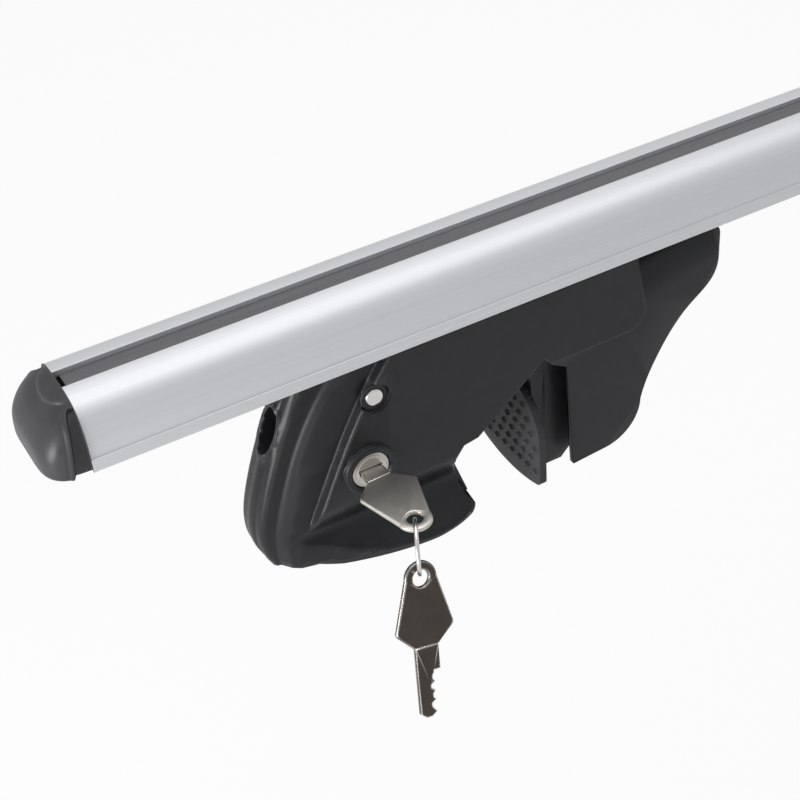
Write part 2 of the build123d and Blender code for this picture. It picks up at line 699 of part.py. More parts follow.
def make_lock_housing():
    seat = LOCK_FRONT - LOCK_FLANGE
    flange = rod(LOCK_X, LOCK_Z, LOCK_FACE_RADIUS, seat, LOCK_FRONT)
    flange = chamfer(flange.faces().sort_by(Axis.Y)[0].edges(), 0.5)
    barrel = rod(LOCK_X, LOCK_Z, LOCK_BARREL_RADIUS, seat - LOCK_BARREL, seat)
    return flange + barrel - rod(LOCK_X, LOCK_Z, PLUG_RADIUS + FIT, seat - LOCK_BARREL - 1, 40)


def make_plug():
    plug = rod(LOCK_X, LOCK_Z, PLUG_RADIUS, CAM_DEPTH, LOCK_FRONT)
    slot = Pos(LOCK_X, LOCK_Z) * Rectangle(KEYWAY_WIDTH, KEYWAY_HEIGHT)
    depth = KEY_NECK + KEY_TIP - KEY_STAND + RUNNING
    plug = plug - slab(slot, LOCK_FRONT - depth, LOCK_FRONT + 1)
    tail = slab(Pos(LOCK_X, LOCK_Z) * Rectangle(4, 4), CAM_DEPTH - CAM_THICK, CAM_DEPTH)
    screw_tip = CAM_DEPTH - CAM_THICK + CAM_SCREW_LENGTH
    hole = rod(LOCK_X, LOCK_Z, CAM_SCREW_RADIUS + FIT, CAM_DEPTH - CAM_THICK - 1, screw_tip + FIT)
    return plug + tail - hole


def make_cam():
    """Arm on the plug's tail that closes the way to the bolt's head."""
    arm = Pos(CAM_REACH / 2 - CAM_TIP_RADIUS / 2, 0) * Rectangle(
        CAM_REACH - CAM_TIP_RADIUS, 2 * CAM_TIP_RADIUS)
    shape = Circle(CAM_HUB_RADIUS) + arm
    shape = shape + Pos(CAM_REACH - CAM_TIP_RADIUS, 0) * Circle(CAM_TIP_RADIUS)
    square = Rectangle(4 + 2 * FIT, 4 + 2 * FIT)
    cam = Pos(LOCK_X, LOCK_Z) * Rot(0, 0, CAM_ANGLE) * shape
    cam = cam - Pos(LOCK_X, LOCK_Z) * square
    return slab(cam, CAM_DEPTH - CAM_THICK, CAM_DEPTH - FIT)


def make_cam_screw():
    seat = CAM_DEPTH - CAM_THICK
    shank = rod(LOCK_X, LOCK_Z, CAM_SCREW_RADIUS, seat, seat + CAM_SCREW_LENGTH)
    return shank + rod(LOCK_X, LOCK_Z, CAM_HEAD_RADIUS, seat - CAM_HEAD, seat)


# Keys and ring


def key_solid():
    """Flat key drawn along X from the lock's face, with its bow towards +X."""
    neck = KEY_STAND - KEY_NECK
    tip = neck - KEY_TIP
    half = KEY_BLADE / 2
    low = half - KEY_TIP_WIDTH
    base = KEY_BOW_BASE / 2
    wide = KEY_BOW_WIDTH / 2
    shoulder = KEY_STAND + KEY_SHOULDER
    end = KEY_STAND + KEY_BOW_LENGTH - KEY_END_RADIUS
    bow = outline((KEY_STAND, -base), (shoulder, -wide), (end, -KEY_END_RADIUS),
                  (end, KEY_END_RADIUS), (shoulder, wide), (KEY_STAND, base))
    bow = fillet(bow.vertices().group_by(Axis.X)[1], 2.0)
    bow = bow + Pos(end, 0) * Circle(KEY_END_RADIUS) - Pos(end, 0) * Circle(KEY_HOLE_RADIUS)
    bow = extrude(bow, KEY_THICK / 2, both=True)
    flats = bow.faces().sort_by(Axis.Z)
    bow = chamfer(flats[0].edges() + flats[-1].edges(), KEY_BEVEL)
    pitch = KEY_TIP / (len(KEY_CUTS) + 1)
    edge = [(neck, half), (neck, low)]
    for index, cut in enumerate(KEY_CUTS):
        middle = neck - (index + 0.75) * pitch
        edge += [(middle + pitch / 2, low), (middle + pitch / 5, low + cut),
                 (middle - pitch / 5, low + cut)]
    edge += [(tip + 1.5, low), (tip, low + 2), (tip, half - 2), (tip + 1.5, half)]
    blade = outline(*edge)
    blade = blade + Pos(KEY_STAND - KEY_NECK / 2, 0) * Rectangle(KEY_NECK, KEY_BLADE)
    return bow + extrude(blade, KEY_THICK / 2, both=True)


def key_end():
    """Middle of the ring hole, measured from the lock's face."""
    return KEY_STAND + KEY_BOW_LENGTH - KEY_END_RADIUS


def ring_hang():
    """Place of the ring: middle of the key's end web, way down, and the ring's axis."""
    turn = math.radians(RING_TURN)
    lean = math.radians(RING_LEAN)
    out = Vector(-math.sin(turn), -math.cos(turn), 0)
    web = Vector(FOOT_X + LOCK_X, -LOCK_FRONT - key_end(), FOOT_Z + LOCK_Z)
    web = web + out * (KEY_END_RADIUS + KEY_HOLE_RADIUS) / 2
    down = out * math.sin(lean) - Vector(0, 0, math.cos(lean))
    return web, down, out.cross(Vector(0, 0, 1))


def ring_drop():
    """Distance from the web's middle to the ring's centre, clear at every swing."""
    web_corner = math.hypot((KEY_END_RADIUS - KEY_HOLE_RADIUS) / 2, KEY_THICK / 2)
    return RING_RADIUS - RING_WIRE - RING_GAP - web_corner


def make_key():
    """Key in the lock, with its bow level."""
    seat = Plane((FOOT_X + LOCK_X, -LOCK_FRONT, FOOT_Z + LOCK_Z), x_dir=(0, -1, 0), z_dir=(0, 0, 1))
    return seat * key_solid()


def make_ring():
    web, down, axis = ring_hang()
    return Plane(web + down * ring_drop(), x_dir=down, z_dir=axis) * Torus(RING_RADIUS, RING_WIRE)


def make_spare_key():
    """Second key, hanging by its hole with its blade down."""
    web, down, axis = ring_hang()
    turn = math.radians(SPARE_TURN)
    reach = ring_drop() + RING_RADIUS + KEY_HOLE_RADIUS - RING_WIRE - SPARE_GAP
    face = axis.cross(down) * math.cos(turn) + axis * math.sin(turn)
    hole = Plane(web + down * reach, x_dir=-down, z_dir=face)
    return hole * Rot(0, 0, SPARE_LEAN) * Pos(-key_end(), 0, 0) * key_solid()


def make_foot():
    half = make_half()
    return {
        "front_shell": make_front_shell(half),
        "rear_shell": make_rear_shell(half),
        "shell_screws": make_shell_screws(),
        "bracket": make_bracket(),
        "slider_plate": make_slider(),
        "slider_screws": make_slider_screws(),
        "bolt_washer": make_washer(),
        "clamp_bolt": make_bolt(),
        "jaw_carriage": make_carriage(),
        "jaw_nut": make_nut(),
        "jaw_pad": make_jaw_pad(),
        "rail_lining": make_lining(),
        "cross_pin": make_pin(),
        "lock_housing": make_lock_housing(),
        "lock_plug": make_plug(),
        "lock_cam": make_cam(),
        "cam_screw": make_cam_screw(),
    }


parts = {"bar_extrusion": make_bar(), "top_strip": make_strip()}
parts["left_end_cap"] = make_cap()
for name, solid in make_foot().items():
    parts["left_" + name] = solid
for name in [name for name in parts if name.startswith("left_")]:
    parts[name.replace("left_", "right_")] = mirror(parts[name], about=Plane.YZ)
parts["lock_key"] = make_key()
parts["key_ring"] = make_ring()
parts["spare_key"] = make_spare_key()

os.makedirs("parts", exist_ok=True)
for name, solid in parts.items():
    export_step(solid, f"parts/{name}.step")
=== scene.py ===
# %% [markdown]
# A roof rack crossbar is an aluminium bar on two lockable clamp feet. The solids, their sizes and their joints come
# from the imported frame. This lesson gives each solid its finish: anodised metal, rubber, grained plastic and plated
# steel. It starts by loading the frame and keeping its box.

# %% Load the frame
import json
import math

import bmesh
import bpy
from mathutils import Matrix, Quaternion, Vector


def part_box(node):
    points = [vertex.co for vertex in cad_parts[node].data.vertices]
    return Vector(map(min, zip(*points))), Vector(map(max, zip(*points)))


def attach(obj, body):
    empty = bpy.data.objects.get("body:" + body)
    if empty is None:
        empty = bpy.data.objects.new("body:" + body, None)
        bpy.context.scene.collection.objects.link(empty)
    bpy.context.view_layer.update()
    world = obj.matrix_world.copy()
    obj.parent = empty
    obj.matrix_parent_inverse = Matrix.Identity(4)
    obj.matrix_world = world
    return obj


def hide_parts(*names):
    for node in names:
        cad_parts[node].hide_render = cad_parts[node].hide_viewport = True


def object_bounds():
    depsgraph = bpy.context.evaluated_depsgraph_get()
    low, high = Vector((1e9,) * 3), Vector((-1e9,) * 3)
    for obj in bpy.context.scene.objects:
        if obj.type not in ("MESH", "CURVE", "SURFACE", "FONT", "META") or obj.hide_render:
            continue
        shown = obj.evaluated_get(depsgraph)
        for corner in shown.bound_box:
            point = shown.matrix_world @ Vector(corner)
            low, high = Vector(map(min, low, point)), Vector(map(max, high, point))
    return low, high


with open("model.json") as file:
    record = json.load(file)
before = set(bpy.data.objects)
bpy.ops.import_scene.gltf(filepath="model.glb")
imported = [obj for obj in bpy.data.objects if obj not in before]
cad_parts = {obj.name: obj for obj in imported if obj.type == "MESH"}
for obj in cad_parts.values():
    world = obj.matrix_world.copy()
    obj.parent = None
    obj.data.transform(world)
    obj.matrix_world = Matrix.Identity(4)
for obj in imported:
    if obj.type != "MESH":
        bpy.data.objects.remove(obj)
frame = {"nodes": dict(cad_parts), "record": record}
cad_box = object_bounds()
nodes = frame["nodes"]
body_of = {node: body for body, members in frame["record"]["behaviour"]["bodies"].items() for node in members}
slot_of = {part["node"]: part["material_slot"] for part in frame["record"]["subparts"]}
SIDES = ("left", "right")

# %% [markdown]
# The camera stands where the photograph was taken from: off the bar's left end, on the lock side, looking down at the
# foot with a small roll. A long lens keeps the bar's edges nearly parallel. The numbers are in metres in the frame of
# the solids, so the picture needs no fitting later.

# %% Camera
CAMERA_PLACE = Vector((-0.6914, -0.4287, 0.3118))
CAMERA_AIM = Vector((-0.4119, 0.1360, -0.1812))
CAMERA_ROLL = math.radians(-5.14)
CAMERA_LENS = 74.5
SENSOR_WIDTH = 36.0
CLIP_START = 0.01


def add_camera():
    data = bpy.data.cameras.new("camera")
    data.lens = CAMERA_LENS
    data.sensor_width = SENSOR_WIDTH
    data.clip_start = CLIP_START
    camera = bpy.data.objects.new("camera", data)
    bpy.context.scene.collection.objects.link(camera)
    turn = (CAMERA_AIM - CAMERA_PLACE).to_track_quat("-Z", "Y")
    camera.rotation_mode = "QUATERNION"
    camera.rotation_quaternion = turn @ Quaternion((0, 0, 1), CAMERA_ROLL)
    camera.location = CAMERA_PLACE
    bpy.context.scene.camera = camera


add_camera()
print("camera distance to the aim", round((CAMERA_AIM - CAMERA_PLACE).length, 3))

# %% [markdown]
# Every finish is a small tree of shader nodes that reads the object's own coordinates, so a pattern stays on its
# piece when the piece moves. A few helpers keep the trees short. One adds a node and fills its sockets, and one makes
# a speckle of a given size, which serves as grain, mottle or, when it is stretched, as drawn streaks. Others map it
# to a range, blend colours by it, press it into the surface, and find the edges where a finish wears.

# %% Helpers for finishes
BEVEL_SAMPLES = 6


def add_node(tree, kind, **sockets):
    """Adds a node. A socket's value is a number, a colour, or another node's output to link from."""
    node = tree.nodes.new(kind)
    for name, value in sockets.items():
        socket = node.inputs[name.replace("_", " ")]
        if isinstance(value, bpy.types.NodeSocket):
            tree.links.new(value, socket)
        else:
            socket.default_value = value
    return node


def new_finish(name, color, roughness, metallic=0.0, specular=0.5):
    """A material with one Principled shader, and its tree and shader."""
    material = bpy.data.materials.new(name)
    material.use_nodes = True
    tree = material.node_tree
    shader = tree.nodes["Principled BSDF"]
    shader.inputs["Base Color"].default_value = (*color, 1.0)
    shader.inputs["Roughness"].default_value = roughness
    shader.inputs["Metallic"].default_value = metallic
    shader.inputs["Specular IOR Level"].default_value = specular
    return material, tree, shader


def speckle(tree, size, stretch=(1, 1, 1), detail=3.0):
    """Noise with grains of a size in metres, drawn out along an axis by a stretch above 1."""
    place = add_node(tree, "ShaderNodeTexCoord").outputs["Object"]
    mapping = add_node(tree, "ShaderNodeMapping", Vector=place)
    mapping.inputs["Scale"].default_value = [1 / (size * s) for s in stretch]
    noise = add_node(tree, "ShaderNodeTexNoise", Vector=mapping.outputs["Vector"], Scale=1.0, Detail=detail)
    return noise.outputs["Fac"]


def spread(tree, value, low, high, start=0.3, end=0.7):
    """Maps a noise value to a range."""
    ranged = add_node(tree, "ShaderNodeMapRange", Value=value)
    ranged.inputs["From Min"].default_value = start
    ranged.inputs["From Max"].default_value = end
    ranged.inputs["To Min"].default_value = low
    ranged.inputs["To Max"].default_value = high
    return ranged.outputs["Result"]


def blend_colors(tree, share, first, second):
    """Mixes two colours, each a triple or a colour output, by a share."""
    mix = tree.nodes.new("ShaderNodeMix")
    mix.data_type = "RGBA"
    tree.links.new(share, mix.inputs["Factor"])
    for socket, color in ((mix.inputs[6], first), (mix.inputs[7], second)):
        if isinstance(color, bpy.types.NodeSocket):
            tree.links.new(color, socket)
        else:
            socket.default_value = (*color, 1.0)
    return mix.outputs[2]


def relief(tree, shader, height, depth, strength=1.0, edge=0.0):
    """Bump of a depth in metres, on normals that are rounded at edges by a radius."""
    bump = add_node(tree, "ShaderNodeBump", Height=height, Distance=depth, Strength=strength)
    if edge:
        rounded = add_node(tree, "ShaderNodeBevel", Radius=edge)
        rounded.samples = BEVEL_SAMPLES
        tree.links.new(rounded.outputs["Normal"], bump.inputs["Normal"])
    tree.links.new(bump.outputs["Normal"], shader.inputs["Normal"])


def edge_mask(tree, radius, low=0.02, high=0.25):
    """Share that rises from 0 on flat faces to 1 at sharp edges, within a radius."""
    rounded = add_node(tree, "ShaderNodeBevel", Radius=radius)
    rounded.samples = BEVEL_SAMPLES
    flat = add_node(tree, "ShaderNodeNewGeometry").outputs["Normal"]
    turn = tree.nodes.new("ShaderNodeVectorMath")
    turn.operation = "DISTANCE"
    tree.links.new(rounded.outputs["Normal"], turn.inputs[0])
    tree.links.new(flat, turn.inputs[1])
    return spread(tree, turn.outputs["Value"], 0.0, 1.0, low, high)


# %% [markdown]
# The bar is an extrusion with a satin anodised skin. The die leaves faint lines along it, and the anodising a fine
# even frost. Noise drawn out along the bar gives the lines, a much finer one the frost. The skin scatters light in an
# oxide film over metal, so it is only partly metallic.

# %% Anodised aluminium
DIE_LINE = 0.0004
DIE_STRETCH = (400, 1, 1)
DIE_DEPTH = 0.00002
FROST = 0.00025
BAR_EDGE = 0.0003


def anodised_aluminium():
    material, tree, shader = new_finish("anodised_aluminium", (0.66, 0.665, 0.68), 0.48, 0.6)
    lines = speckle(tree, DIE_LINE, DIE_STRETCH)
    frost = speckle(tree, FROST, detail=1.0)
    tone = blend_colors(tree, spread(tree, lines, 0.0, 1.0), (0.63, 0.635, 0.65), (0.68, 0.685, 0.70))
    tree.links.new(tone, shader.inputs["Base Color"])
    tree.links.new(spread(tree, frost, 0.44, 0.54), shader.inputs["Roughness"])
    relief(tree, shader, lines, DIE_DEPTH, 0.4, edge=BAR_EDGE)
    return material


# %% [markdown]
# The strip in the top slot is extruded rubber. It is matt and dark grey, with fine lines along it from the die. The
# pads that grip the rail are moulded rubber, darker and with no direction.

# %% Rubber
STRIP_LINE = 0.0005
STRIP_STRETCH = (200, 1, 1)
STRIP_DEPTH = 0.00004
STRIP_EDGE = 0.0003
PAD_MOTTLE = 0.002
PAD_GRAIN = 0.0003
PAD_DEPTH = 0.00003
PAD_EDGE = 0.0004


def strip_rubber():
    material, tree, shader = new_finish("strip_rubber", (0.15, 0.15, 0.155), 0.62, specular=0.3)
    lines = speckle(tree, STRIP_LINE, STRIP_STRETCH)
    tone = blend_colors(tree, spread(tree, lines, 0.0, 1.0), (0.13, 0.13, 0.134), (0.17, 0.17, 0.175))
    tree.links.new(tone, shader.inputs["Base Color"])
    tree.links.new(spread(tree, lines, 0.56, 0.68), shader.inputs["Roughness"])
    relief(tree, shader, lines, STRIP_DEPTH, 0.6, edge=STRIP_EDGE)
    return material


def black_rubber():
    material, tree, shader = new_finish("black_rubber", (0.03, 0.03, 0.032), 0.6, specular=0.3)
    mottle = speckle(tree, PAD_MOTTLE)
    grain = speckle(tree, PAD_GRAIN, detail=1.0)
    tone = blend_colors(tree, spread(tree, mottle, 0.0, 1.0), (0.024, 0.024, 0.026), (0.04, 0.04, 0.042))
    tree.links.new(tone, shader.inputs["Base Color"])
    tree.links.new(spread(tree, mottle, 0.52, 0.68), shader.inputs["Roughness"])
    relief(tree, shader, grain, PAD_DEPTH, 0.5, edge=PAD_EDGE)
    return material


# %% [markdown]
# The foot's housing is a black moulding with a spark-eroded grain: very small even bumps that break up the shine.
# Handling polishes the edges, so they are a little lighter and smoother. The end caps are a softer, greyer plastic.

# %% Moulded plastic
MOULD_GRAIN = 0.00035
MOULD_MOTTLE = 0.006
MOULD_EDGE = 0.0005
WORN_EDGE = 0.0006
SHEEN_SPREAD = 0.04


def moulded(name, dark, light, worn, roughness, grain_depth):
    """Moulded plastic with an even grain, a faint mottle and edges polished by handling."""
    material, tree, shader = new_finish(name, dark, roughness, specular=0.3)
    grain = speckle(tree, MOULD_GRAIN, detail=2.0)
    mottle = speckle(tree, MOULD_MOTTLE)
    tone = blend_colors(tree, spread(tree, mottle, 0.0, 1.0), dark, light)
    tone = blend_colors(tree, edge_mask(tree, WORN_EDGE), tone, worn)
    tree.links.new(tone, shader.inputs["Base Color"])
    rough = spread(tree, mottle, roughness - SHEEN_SPREAD, roughness + SHEEN_SPREAD)
    tree.links.new(rough, shader.inputs["Roughness"])
    relief(tree, shader, grain, grain_depth, 0.4, edge=MOULD_EDGE)
    return material


# %% [markdown]
# Metal pieces are plated. Zinc is dull and faintly clouded, the pin and the wire ring are bright steel, and the lock
# and the keys are nickel. The dark nickel is that nickel painted darker: painted shade for the dark surroundings that
# its parts reflect. Plating shows hairline scratches, which are noise drawn out one way, and brighter edges where it
# has been rubbed.

# %% Plated metal
PLATE_CLOUD = 0.006
SCRATCH = 0.00015
SCRATCH_DEPTH = 0.000005
SCRATCH_ROUGHNESS = (0.85, 1.2)
RUBBED_WIDTH = 1.5


def plated(name, color, cloud, roughness, scratch_stretch=(1, 1, 1), edge=0.0002, edge_color=None):
    """Plated metal with clouded colour, hairline scratches and rubbed edges."""
    material, tree, shader = new_finish(name, color, roughness, 1.0)
    clouds = speckle(tree, PLATE_CLOUD)
    scratches = speckle(tree, SCRATCH, scratch_stretch, 2.0)
    tone = blend_colors(tree, spread(tree, clouds, 0.0, 1.0), color, cloud)
    if edge_color:
        tone = blend_colors(tree, edge_mask(tree, RUBBED_WIDTH * edge), tone, edge_color)
    tree.links.new(tone, shader.inputs["Base Color"])
    rough = spread(tree, scratches, *(share * roughness for share in SCRATCH_ROUGHNESS))
    tree.links.new(rough, shader.inputs["Roughness"])
    relief(tree, shader, scratches, SCRATCH_DEPTH, 0.4, edge=edge)
    return material


finishes = {
    "anodised_aluminium": anodised_aluminium(),
    "strip_rubber": strip_rubber(),
    "black_rubber": black_rubber(),
    "black_plastic": moulded("black_plastic", (0.009, 0.0095, 0.011), (0.013, 0.0135, 0.015), (0.036, 0.038, 0.043),
                             0.38, 0.00003),
    "cap_plastic": moulded("cap_plastic", (0.038, 0.038, 0.04), (0.047, 0.047, 0.05), (0.08, 0.082, 0.088),
                           0.4, 0.00002),
    "zinc_steel": plated("zinc_steel", (0.50, 0.50, 0.49), (0.56, 0.555, 0.53), 0.38),
    "bright_steel": plated("bright_steel", (0.66, 0.65, 0.64), (0.70, 0.69, 0.67), 0.24, edge=0.00012),
    "nickel": plated("nickel", (0.47, 0.45, 0.42), (0.52, 0.50, 0.47), 0.38, (20, 1, 1), 0.0004, (0.86, 0.80, 0.72)),
    # dark_nickel is the same nickel painted darker: painted shade for the dark surroundings that its parts reflect.
    "dark_nickel": plated("dark_nickel", (0.075, 0.062, 0.053), (0.09, 0.075, 0.065), 0.26, (1, 1, 20), 0.0004,
                          (0.75, 0.72, 0.68)),
}
print("finishes", sorted(finishes))

# %% [markdown]
# The solids arrive as loose triangles, which would show their facets. A copy of each visible solid is merged, shaded
# smooth up to a crease angle and given its finish, and it stands for the solid. Normals that lean towards large faces
# keep flat panels flat. The next cells use these helpers for pieces that first get more shape.

# %% Helpers for pieces
CREASE = math.radians(30)
SHELL_CREASE = math.radians(38)
MERGE = 1e-6


def edit_mesh(mesh, change):
    """Runs a change on a mesh as an editable one, with doubles merged first."""
    work = bmesh.new()
    work.from_mesh(mesh)
    bmesh.ops.remove_doubles(work, verts=work.verts, dist=MERGE)
    change(work)
    work.to_mesh(mesh)
    work.free()


def keep_shape(work):
    """No change beyond the merge."""


def smooth_copy(node, change=keep_shape):
    """Merged copy of a solid's mesh, with a change to its shape where one is given."""
    mesh = nodes[node].data.copy()
    edit_mesh(mesh, change)
    return mesh


def even_shading(piece):
    """Normals that lean towards large faces, so that flat faces stay flat beside small curved ones."""
    weights = piece.modifiers.new("even_shading", "WEIGHTED_NORMAL")
    weights.mode = "FACE_AREA_WITH_ANGLE"
    weights.keep_sharp = True
    shaded = bpy.data.meshes.new_from_object(piece.evaluated_get(bpy.context.evaluated_depsgraph_get()))
    piece.modifiers.clear()
    piece.data = shaded


def place_piece(name, mesh, body, slot, replaced=None, crease=CREASE):
    """Piece that rides on a body, with the finish of its slot and smooth faces up to a crease."""
    piece = bpy.data.objects.new(name, mesh)
    bpy.context.scene.collection.objects.link(piece)
    mesh.materials.clear()
    mesh.materials.append(finishes[slot])
    mesh.shade_smooth()
    mesh.set_sharp_from_angle(angle=crease)
    even_shading(piece)
    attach(piece, body)
    if replaced:
        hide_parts(replaced)
    return piece


def dress(node, mesh=None, crease=CREASE):
    """Piece that stands for a solid, with its finish."""
    return place_piece(node + "_finish", mesh or smooth_copy(node), body_of[node], slot_of[node], node, crease)


pieces = {}
print("crease", round(math.degrees(CREASE)), "degrees")

# %% [markdown]
# The bar is one section pushed through a die. Its top is an arch that is flatter than an ellipse, cut level at the
# slot, over a low band with rounded edges. The section is drawn here as a flat curve with fine steps, so that light
# runs over the arch without bands, and a curve with a depth becomes the bar. Loops inside the outline are the side
# chambers.

# %% Bar from its section
ARCH_HALF = 0.0207
ARCH_RISE = 0.0241
ARCH_POWER = 3.2
ARCH_STEPS = 40
BAR_HEIGHT = 0.024
BAR_WALL = 0.002
BAND_HALF = 0.0214
BAND_HEIGHT = 0.005
BAND_ROUND = 0.0005
BAND_STEPS = 4
CHAMBER_SIDE = 0.0115
SLOT = {"mouth": 0.0094, "lip": 0.0024, "width": 0.019, "depth": 0.009}
CHANNEL = {"mouth": 0.009, "lip": 0.0022, "width": 0.018, "depth": 0.0074}


def arch_points(inset, top, low):
    """Right half of the arch from a top level down to a low one, both measured from the bar's underside."""
    half = ARCH_HALF - inset
    rise = ARCH_RISE - inset
    turns = [math.asin(min(1.0, (level / rise) ** (ARCH_POWER / 2))) for level in (top, low)]
    points = []
    for step in range(ARCH_STEPS + 1):
        turn = turns[0] + (turns[1] - turns[0]) * step / ARCH_STEPS
        across = half * math.cos(turn) ** (2 / ARCH_POWER)
        points.append((across, rise * math.sin(turn) ** (2 / ARCH_POWER) - BAR_HEIGHT))
    return points


def band_corner(level, first):
    """Rounded edge of the band, a quarter turn that starts at an angle."""
    middle = (BAND_HALF - BAND_ROUND, level)
    turns = [first - math.pi / 2 * step / BAND_STEPS for step in range(BAND_STEPS + 1)]
    return [(middle[0] + BAND_ROUND * math.cos(t), middle[1] + BAND_ROUND * math.sin(t)) for t in turns]


def groove(sizes, level, sign):
    """Right half of a T-shaped groove, from its mouth at a level to its floor."""
    lip = level - sign * sizes["lip"]
    floor_level = level - sign * sizes["depth"]
    return [(sizes["mouth"] / 2, level), (sizes["mouth"] / 2, lip), (sizes["width"] / 2, lip),
            (sizes["width"] / 2, floor_level)]


def side_chambers(wall):
    """Outlines of the two hollow chambers beside the slot, inside a wall."""
    gap = wall - BAR_WALL
    chamber = [(y, z) for y, z in arch_points(wall, BAR_HEIGHT - wall, wall) if y > CHAMBER_SIDE + gap]
    chamber = [(CHAMBER_SIDE + gap, chamber[0][1])] + chamber + [(CHAMBER_SIDE + gap, chamber[-1][1])]
    return [chamber, [(-y, z) for y, z in chamber]]


def bar_outline():
    """Outline of the section with both grooves."""
    half = groove(SLOT, 0.0, 1)[::-1] + arch_points(0.0, BAR_HEIGHT, BAND_HEIGHT)
    half += band_corner(BAND_HEIGHT - BAR_HEIGHT - BAND_ROUND, math.pi / 2)
    half += band_corner(BAND_ROUND - BAR_HEIGHT, 0.0)
    half += groove(CHANNEL, -BAR_HEIGHT, -1)
    return half + [(-y, z) for y, z in reversed(half)]


def pushed(loops, start, end):
    """Mesh of outlines pushed along the bar from a start to an end."""
    curve = bpy.data.curves.new("section", "CURVE")
    curve.dimensions = "2D"
    curve.fill_mode = "BOTH"
    curve.extrude = (end - start) / 2
    for loop in loops:
        spline = curve.splines.new("POLY")
        spline.points.add(len(loop) - 1)
        for point, (y, z) in zip(spline.points, loop):
            point.co = (y, z, 0.0, 1.0)
        spline.use_cyclic_u = True
    drawn = bpy.data.objects.new("section", curve)
    mesh = bpy.data.meshes.new_from_object(drawn)
    bpy.data.objects.remove(drawn)
    turned = Matrix(((0, 0, 1, 0), (1, 0, 0, 0), (0, 1, 0, 0), (0, 0, 0, 1)))
    mesh.transform(Matrix.Translation(((start + end) / 2, 0, 0)) @ turned)
    edit_mesh(mesh, lambda work: bmesh.ops.recalc_face_normals(work, faces=work.faces))
    return mesh


bar_low, bar_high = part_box("bar_extrusion")
bar_mesh = pushed([bar_outline()] + side_chambers(BAR_WALL), bar_low[0], bar_high[0])
pieces["bar_extrusion"] = dress("bar_extrusion", bar_mesh)

# %% [markdown]
# Each end cap is a rounded plug. Its skin is a grid of points: rows that shrink from the bar's section towards the
# tip, each an arch like the bar's. The forms of the moulding are moves of these points: a tongue on top with a crease
# along its edge, and a finger recess beside the bar with a raised lip. So they are real shape and show from every
# side. A level of the cap says how far along it lies, and how wide and tall it is as shares of the bar's section.

# %% End caps
CAP_LENGTH = 0.015
CAP_LEVELS = ((0.0, 1.0, 1.0), (0.34, 0.99, 0.9), (0.63, 0.945, 0.72), (0.85, 0.82, 0.52), (0.965, 0.62, 0.36),
              (1.0, 0.36, 0.22))
CAP_LIFT = 0.0015
CAP_CORE = 0.6
CAP_ROWS = 22
CAP_COLUMNS = 150
CAP_SPIGOT = 0.014
SPIGOT_GAP = 0.0002
TONGUE_HALF = 0.0105
TONGUE_REACH = 0.0062
TONGUE_STEP = 0.0009
TONGUE_BLEND = 0.0012
TONGUE_FADE = 0.009
GRIP_LINE = ((0.0, -0.0022), (0.0015, -0.0024), (0.0025, -0.0031), (0.0032, -0.0043), (0.0038, -0.0065),
             (0.0047, -0.012), (0.0062, -0.024))
GRIP_DEPTH = 0.0014
GRIP_BLEND = 0.0007
GRIP_LIP = 0.0003
GRIP_LIP_WIDTH = 0.0011
GRIP_LIP_SHIFT = 0.6


def smooth_step(value):
    """Rises from 0 to 1 with no corner at either end."""
    share = min(max(value, 0.0), 1.0)
    return share * share * (3 - 2 * share)


def through(levels, place):
    """Smooth values between levels, at a place counted in levels."""
    index = min(int(place), len(levels) - 2)
    t = place - index
    picks = [levels[min(max(index + k, 0), len(levels) - 1)] for k in (-1, 0, 1, 2)]
    weights = ((-t + 2 * t ** 2 - t ** 3) / 2, (2 - 5 * t ** 2 + 3 * t ** 3) / 2,
               (t + 4 * t ** 2 - 3 * t ** 3) / 2, (t ** 3 - t ** 2) / 2)
    return [sum(w * level[k] for w, level in zip(weights, picks)) for k in range(len(levels[0]))]


def grip_edge(z):
    """Distance from the bar's end to the edge of the finger recess, at a level."""
    for (near, top), (far, low) in zip(GRIP_LINE, GRIP_LINE[1:]):
        if low <= z <= top:
            return near + (far - near) * (top - z) / (top - low)
    return GRIP_LINE[-1][0] if z < GRIP_LINE[-1][1] else 0.0


def cap_sink(along, y, z):
    """How far a point of the cap's skin sinks for the tongue's crease and the finger recess."""
    beyond = TONGUE_HALF * (math.hypot(along / TONGUE_REACH, y / TONGUE_HALF) - 1)
    fade = 1 - smooth_step(beyond / TONGUE_FADE)
    sink = TONGUE_STEP * smooth_step(beyond / TONGUE_BLEND) * fade
    inside = grip_edge(z) - along
    if z < GRIP_LINE[0][1]:
        sink += GRIP_DEPTH * smooth_step(inside / GRIP_BLEND + 0.5)
        sink -= GRIP_LIP * max(0.0, 1 - (inside / GRIP_LIP_WIDTH + GRIP_LIP_SHIFT) ** 2)
    return sink


def cap_points(end):
    """Rows of points over the right cap's skin, from the bar's end to the tip."""
    core = Vector((end, 0, -CAP_CORE * BAR_HEIGHT))
    rows = []
    for step in range(CAP_ROWS * (len(CAP_LEVELS) - 1) + 1):
        share, wide, tall = through(CAP_LEVELS, step / CAP_ROWS)
        foot = (1 - tall) * CAP_LIFT - BAR_HEIGHT
        row = []
        for column in range(CAP_COLUMNS + 1):
            turn = math.pi * column / CAP_COLUMNS
            y = BAND_HALF * wide * abs(math.cos(turn)) ** (2 / ARCH_POWER)
            z = foot + BAR_HEIGHT * tall * math.sin(turn) ** (2 / ARCH_POWER)
            point = Vector((end + share * CAP_LENGTH, math.copysign(y, math.cos(turn)), z))
            sink = cap_sink(share * CAP_LENGTH, point.y, z)
            row.append(point + (core - point).normalized() * sink if step else point)
        rows.append(row)
    return rows


